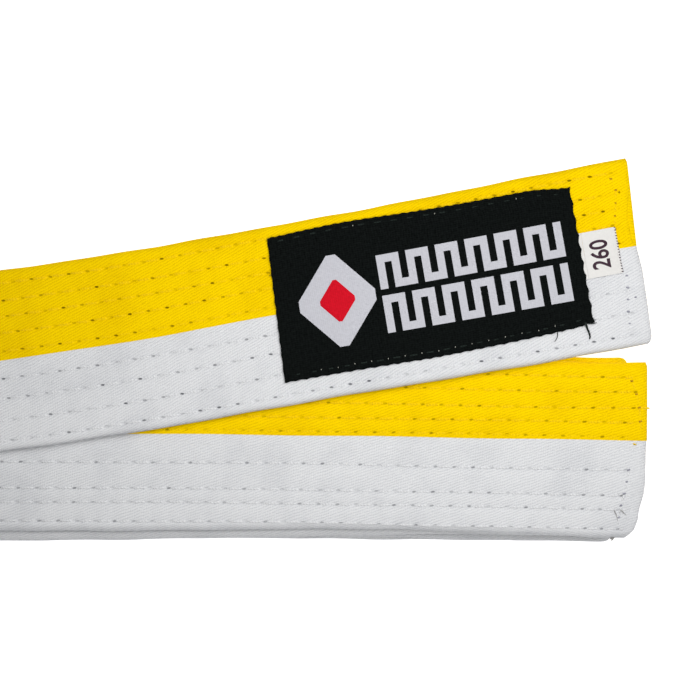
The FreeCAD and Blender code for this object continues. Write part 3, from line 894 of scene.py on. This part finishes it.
def gridPiece(name, xs, ys, shape, lowHeight, topHeight, material):
    # a thin closed sheet over a grid of places
    x, y = (item.ravel() for item in np.meshgrid(xs, ys, indexing="ij"))
    high, low = topHeight(x, y), lowHeight(x, y)
    px, py = shape(x, y)
    points = np.concatenate([placeOnLabel(px, py, high), placeOnLabel(px, py, low)])
    rows, columns = len(xs), len(ys)
    half = rows * columns
    faces = []
    for i in range(rows - 1):
        for j in range(columns - 1):
            a = i * columns + j
            faces.append([a, a + columns, a + columns + 1, a + 1])
            faces.append([a + half, a + half + 1, a + half + columns + 1, a + half + columns])
    rim = ([i * columns for i in range(rows)] + [(rows - 1) * columns + j for j in range(1, columns)]
           + [i * columns + columns - 1 for i in range(rows - 2, -1, -1)] + list(range(columns - 2, 0, -1)))
    faces += [[a, b, b + half, a + half] for a, b in zip(rim, rim[1:] + rim[:1])]
    places = np.column_stack([np.concatenate([x, x]), np.concatenate([y, y])])
    return makePiece(name, points, faces, material, places, smoothAngle=50)


def labelUnder(x, y):
    overTag = (x > -6.4) & (y > -4.3) & (y < 6.3)
    return np.where(overTag, label["floor"] + 0.28, label["floor"])


labelXs = np.linspace(-label["length"], 0, round(label["length"] / label["grid"]) + 1)
labelWidth = label["high"] - label["low"]
labelYs = np.linspace(label["low"], label["high"], round(labelWidth / label["grid"]) + 1)
labelSheet = gridPiece("woven_label", labelXs, labelYs, labelEdges, labelUnder, labelTop, labelWeave)
fixPiece(labelSheet, "labelled_end", ["label"])

# the label's pattern is plain geometry: a lozenge within a lozenge, and two bands of a square wave
motif = {
    "rise": 0.07,
    "centre": (-54.8, 1.0),
    "halfSize": (8.6, 10.2),
    "innerShare": 0.46,
    "bandLeft": -44.9,
    "bandPeriod": 6.67,
    "bandWaves": 6,
    "stroke": 1.75,
    "bands": [(1.7, 9.3), (-8.0, 0.3)],
}


def patchPiece(name, centre, corners, rise, material):
    # a flat woven shape that follows the label's face, built in rings from its middle
    corners = np.array(corners, float)
    outline = []
    for start, end in zip(corners, np.roll(corners, -1, axis=0)):
        outline += [start + (end - start) * share for share in np.linspace(0, 1, 12, endpoint=False)]
    outline = np.array(outline)
    count = len(outline)
    rings = [outline * share for share in (1.0, 0.97, 0.7, 0.4, 0.15)]
    flat = np.concatenate([outline] + rings + [np.zeros((1, 2))]) + np.array(centre)
    lift = np.concatenate([np.full(count, -0.05), np.full(count, rise * 0.4), np.full(4 * count + 1, rise)])
    points = placeOnLabel(flat[:, 0], flat[:, 1], labelTop(flat[:, 0], flat[:, 1]) + lift)
    faces = [list(range(count))]
    for ring in range(5):
        faces += [[ring * count + i, ring * count + (i + 1) % count, (ring + 1) * count + (i + 1) % count,
                   (ring + 1) * count + i] for i in range(count)]
    faces += [[5 * count + i, 5 * count + (i + 1) % count, 6 * count] for i in range(count)]
    return makePiece(name, points, faces, material, flat, smoothAngle=50)


def lozenge(halfX, halfY, blunt):
    # a lozenge with its four points cut off
    cutX, cutY = blunt * halfX, blunt * halfY
    return [(halfX, -cutY), (halfX, cutY), (cutX, halfY), (-cutX, halfY),
            (-halfX, cutY), (-halfX, -cutY), (-cutX, -halfY), (cutX, -halfY)]


def bandPiece(name, low, high):
    # one band of the square wave, as cells of one grid that are woven or left bare
    stroke, period = motif["stroke"], motif["bandPeriod"]
    xs = [motif["bandLeft"]]
    for count in range(motif["bandWaves"]):
        left = motif["bandLeft"] + count * period
        xs += [left + stroke, left + period / 2, left + period / 2 + stroke, left + period]
    xs.append(motif["bandLeft"] + motif["bandWaves"] * period + stroke)
    ys = [low, low + stroke, (low + high) / 2, high - stroke, high]
    filled = np.zeros((len(xs) - 1, len(ys) - 1), bool)
    filled[::2] = True
    filled[1::4, -1] = True
    filled[3::4, 0] = True
    points, faces, found = [], [], {}

    def corner(i, j, level):
        if (i, j, level) not in found:
            found[i, j, level] = len(points)
            points.append((xs[i], ys[j], level))
        return found[i, j, level]

    columns, rows = filled.shape
    for i in range(columns):
        for j in range(rows):
            if not filled[i, j]:
                continue
            cell = [(i, j), (i + 1, j), (i + 1, j + 1), (i, j + 1)]
            faces.append([corner(*place, 1) for place in cell])
            faces.append([corner(*place, 0) for place in reversed(cell)])
            beside = [(i, j - 1), (i + 1, j), (i, j + 1), (i - 1, j)]
            for (column, row), a, b in zip(beside, cell, cell[1:] + cell[:1]):
                inside = 0 <= column < columns and 0 <= row < rows
                if not (inside and filled[column, row]):
                    faces.append([corner(*b, 1), corner(*a, 1), corner(*a, 0), corner(*b, 0)])
    flat = np.array(points)
    height = labelTop(flat[:, 0], flat[:, 1]) + np.where(flat[:, 2] > 0, motif["rise"], -0.06)
    points = placeOnLabel(flat[:, 0], flat[:, 1], height)
    return makePiece(name, points, faces, labelGrey, flat[:, :2], smoothAngle=40)


innerSize = [size * motif["innerShare"] for size in motif["halfSize"]]
motifPieces = [
    patchPiece("label_lozenge", motif["centre"], lozenge(*motif["halfSize"], 0.12), motif["rise"], labelGrey),
    patchPiece("label_inner_lozenge", motif["centre"], lozenge(*innerSize, 0.1), motif["rise"] + 0.05,
               labelRed),
]
for number, (low, high) in enumerate(motif["bands"], 1):
    motifPieces.append(bandPiece("label_band_%d" % number, low, high))
for piece in motifPieces:
    fixPiece(piece, "labelled_end")

# the label's own stitching, with a pale speck in some of its holes, and its loose thread ends
labelSewing = {"pitch": 3.6, "gap": 0.8, "left": -67.0, "right": -1.0, "cornerGap": 2.4}


def labelStitch(x0, y0, x1, y1):
    return [label["toEnd"] - x0, y0, label["toEnd"] - x1, y1, 1]


def labelRow(start, end):
    reach = math.dist(start, end)
    count = round(reach / labelSewing["pitch"])
    gap = labelSewing["gap"] / 2 / reach
    found, holes = [], []
    for index in range(count):
        low, high = index / count + gap, (index + 1) / count - gap
        low, high, hole = [labelEdges(*[a + (b - a) * share for a, b in zip(start, end)])
                           for share in (low, high, high + gap)]
        found.append(labelStitch(*low, *high))
        holes.append(hole)
    return found, holes


left, right, cornerGap = labelSewing["left"], labelSewing["right"], labelSewing["cornerGap"]
topHem, lowHem = label["high"] - label["topHem"], label["low"] + label["lowHem"]
sideLow, sideHigh = label["low"] + cornerGap, label["high"] - cornerGap
topRow, topHoles = labelRow((left, topHem), (right, topHem - 0.3))
lowRow, lowHoles = labelRow((left - 0.2, lowHem), (right, lowHem))
leftRow, _ = labelRow((left, sideLow), (left + 0.4, sideHigh))
rightRow, _ = labelRow((right, sideLow), (right, sideHigh))
labelSeat = label["floor"] + label["thick"] - 0.16
edgeRows = topRow + lowRow + leftRow + rightRow
edgeStitches = stitchPiece("label_edge_stitches", edgeRows, yarns["black"], labelSeat)
fixPiece(edgeStitches, "labelled_end", ["label_thread"])
specks = [labelStitch(x - 0.06, y - 0.16, x + 0.06, y + 0.30) for x, y in topHoles[4::5] + lowHoles[1:]
          if x < -5]
speckPiece = stitchPiece("label_thread_specks", specks, yarns["pale"], labelSeat + 0.19, 0.36)
fixPiece(speckPiece, "labelled_end")


def looseThread(name, places, width, material, seat=placeOnLabel):
    # a short thread end, six-sided and thinner at its tip
    path = np.array(places, float)
    stops = np.linspace(0, len(path) - 1, 9)
    line = np.column_stack([np.interp(stops, range(len(path)), path[:, axis]) for axis in range(3)])
    line[1:-1] = (line[:-2] + line[1:-1] * 2 + line[2:]) / 4
    points = []
    for index, place in enumerate(line):
        way = line[min(index + 1, 8)] - line[max(index - 1, 0)]
        across = np.array([-way[1], way[0], 0]) / max(math.hypot(way[0], way[1]), 1e-6)
        radius = width / 2 * (1 - 0.5 * (index / 8) ** 2)
        for turn in range(6):
            angle = turn * math.pi / 3
            points.append(place + radius * (math.cos(angle) * across + math.sin(angle) * np.array([0, 0, 1])))
    faces, _, caps = ringFaces(len(line), 6)
    faces = faces.tolist() + caps.tolist()
    return makePiece(name, seat(*np.transpose(points)), faces, material, smoothAngle=80)


top = label["floor"] + label["thick"]
looseEnds = {
    "low": ([(-1.6, -13.0, top - 0.1), (-1.4, -14.4, top - 0.25), (-1.0, -16.0, 2.0), (-1.3, -16.7, 1.95)],
            0.5),
    "side": ([(-0.9, -13.4, top - 0.1), (0.1, -13.6, top - 0.3), (0.9, -13.5, 2.0)], 0.22),
    "left": ([(-8.0, -14.0, top - 0.2), (-8.2, -15.1, 2.0), (-9.0, -16.0, 1.95)], 0.2),
    "top": ([(-66.9, 9.0, top - 0.2), (-68.1, 9.3, 2.0), (-68.9, 9.2, 1.95)], 0.2),
    "corner": ([(-67.2, -13.0, top - 0.2), (-68.6, -13.2, 2.0), (-69.1, -13.1, 1.95)], 0.2),
}
for name, (places, width) in looseEnds.items():
    thread = looseThread("label_thread_end_" + name, places, width, yarns["black"])
    fixPiece(thread, "labelled_end")


def placeOnPlainEnd(x, y, h):
    # h rises from the belt's middle to the side that is uppermost there, its back
    return placeOnBelt(beltLength + x, y, -h)


# frayed thread ends at the corner and the edge of the plain end, and two grey thread pieces by the end column
# whose grey is painted shade; x runs out of the belt
frays = {
    "fray_low": ([(-5.4, -18.7, 0.9), (-3.9, -19.6, 0.2), (-2.9, -20.3, -0.4)], 0.42, "grey"),
    "fray_tip": ([(-4.2, -18.9, 0.9), (-3.0, -19.9, 0.2), (-3.7, -20.4, -0.4)], 0.36, "grey"),
    "fray_side": ([(-4.8, -18.8, 0.9), (-4.1, -20.0, 0.1), (-3.1, -19.9, -0.5)], 0.30, "grey"),
    # painted shade: these two grey threads stand for the soft grey shade beside the end column's stitches
    "thread_tail_shade": ([(-6.0, -13.6, 1.75), (-5.3, -14.8, 1.90), (-5.0, -15.8, 1.78)], 0.16, "grey"),
    "thread_bend_shade": ([(-4.4, -13.4, 1.75), (-3.8, -14.1, 1.90), (-3.1, -14.5, 1.78)], 0.16, "grey"),
    "thread_pull": ([(-1.2, 9.2, 1.4), (-0.1, 9.3, 1.1), (0.5, 9.2, 0.7)], 0.56, "yellow"),
    "thread_spot": ([(-2.8, 1.32, 1.72), (-2.45, 1.15, 1.84), (-2.1, 1.22, 1.72)], 0.34, "yellow"),
}
for name, (places, width, yarn) in frays.items():
    fray = looseThread("plain_end_" + name, places, width, yarns[yarn], placeOnPlainEnd)
    fixPiece(fray, "upper_runs")
print("label made")

# the size tag: a ribbon folded on itself, its ends under the label and its fold towards the belt's end

tag = {
    "low": -4.0,
    "high": 6.0,
    "crease": 0.95,
    "fold": 8.7,
    "root": -6.0,
    "floor": halfThick + 0.13,
    "ply": 0.08,
    "thick": 0.20,
    "digits": "260",
    "digitHeight": 4.15,
    "digitsLength": 6.3,
    "digitsPlace": (4.3, 0.75),
    "dotPitch": 0.6,
}


def tagLift(x, y):
    # the flap curls a very little away from the cloth
    return 0.05 * np.clip(x / 8, 0, 1) ** 2 * (1 + 0.5 * np.sin(y / 3))


def ribbonPiece(name, left, right, material):
    # two plies of ribbon joined by a fold at their right end
    ply, thick, middle = tag["ply"], tag["thick"], left + (right - left) * 0.5
    outside = [(left, 0), (middle, 0), (right - 0.2, 0), (right, thick / 2), (right - 0.2, thick),
               (middle, thick), (left, thick)]
    inside = [(left, thick - ply), (middle, thick - ply), (right - 0.28, thick - ply), (right - 0.28, ply),
              (middle, ply), (left, ply)]
    outline = np.array(outside + inside)
    size, ys = len(outline), np.linspace(tag["low"], tag["high"], 13)
    points = []
    for y in ys:
        h = tag["floor"] + outline[:, 1] + (tagLift(outline[:, 0], y) if left > 0 else 0)
        points.append(placeOnLabel(outline[:, 0], np.full(size, y), h))
    faces, _, caps = ringFaces(len(ys), size)
    places = np.column_stack([np.tile(outline[:, 0], len(ys)), np.repeat(ys, size)])
    return makePiece(name, np.concatenate(points), faces.tolist() + caps.tolist(), material, places,
                     smoothAngle=40)


tagRoot = ribbonPiece("tag_ribbon_root", tag["root"], tag["crease"] - 0.03, tagWeave)
fixPiece(tagRoot, "labelled_end", ["size_tag_root"])
tagFlap = ribbonPiece("tag_ribbon_flap", tag["crease"], tag["fold"], tagWeave)
fixPiece(tagFlap, "size_tag", ["size_tag"])

# the size in centimetres, printed to be read from the white edge upwards
bpy.ops.object.select_all(action="DESELECT")
bpy.ops.object.text_add(location=(0, 0, 0))
digits = bpy.context.object
digits.name = "tag_size_number"
digits.data.body = tag["digits"]
digits.data.offset = 0.018
digits.data.resolution_u = 6
bpy.ops.object.convert(target="MESH")
digits = bpy.context.object
flat = np.array([corner.co for corner in digits.data.vertices])
low, high = flat.min(0), flat.max(0)
reading = (flat[:, 0] - (low[0] + high[0]) / 2) / (high[0] - low[0]) * tag["digitsLength"]
upward = (flat[:, 1] - (low[1] + high[1]) / 2) / (high[1] - low[1]) * tag["digitHeight"]
x, y = tag["digitsPlace"][0] - upward, tag["digitsPlace"][1] + reading
placed = placeOnLabel(x, y, tag["floor"] + tag["thick"] + tagLift(x, y) + 0.02)
for corner, place in zip(digits.data.vertices, placed):
    corner.co = place
solid = digits.modifiers.new("ink", "SOLIDIFY")
solid.thickness = 0.00003
bpy.ops.object.modifier_apply(modifier="ink")
digits.data.uv_layers.new(name="cloth")
digits.data.materials.clear()
digits.data.materials.append(tagInk)
fixPiece(digits, "size_tag")
dots = []
for step in range(round((tag["high"] - tag["low"]) / tag["dotPitch"])):
    y = tag["low"] + (step + 0.5) * tag["dotPitch"]
    x = tag["fold"] + float(endShift(label["toEnd"] - tag["fold"], y))
    dots.append(labelStitch(x - 0.20, y - 0.14, x - 0.06, y + 0.14))
edgeDots = stitchPiece("tag_edge_dots", dots, tagInk, tag["floor"] + 0.33, 0.70)
fixPiece(edgeDots, "size_tag")
print("size tag made")
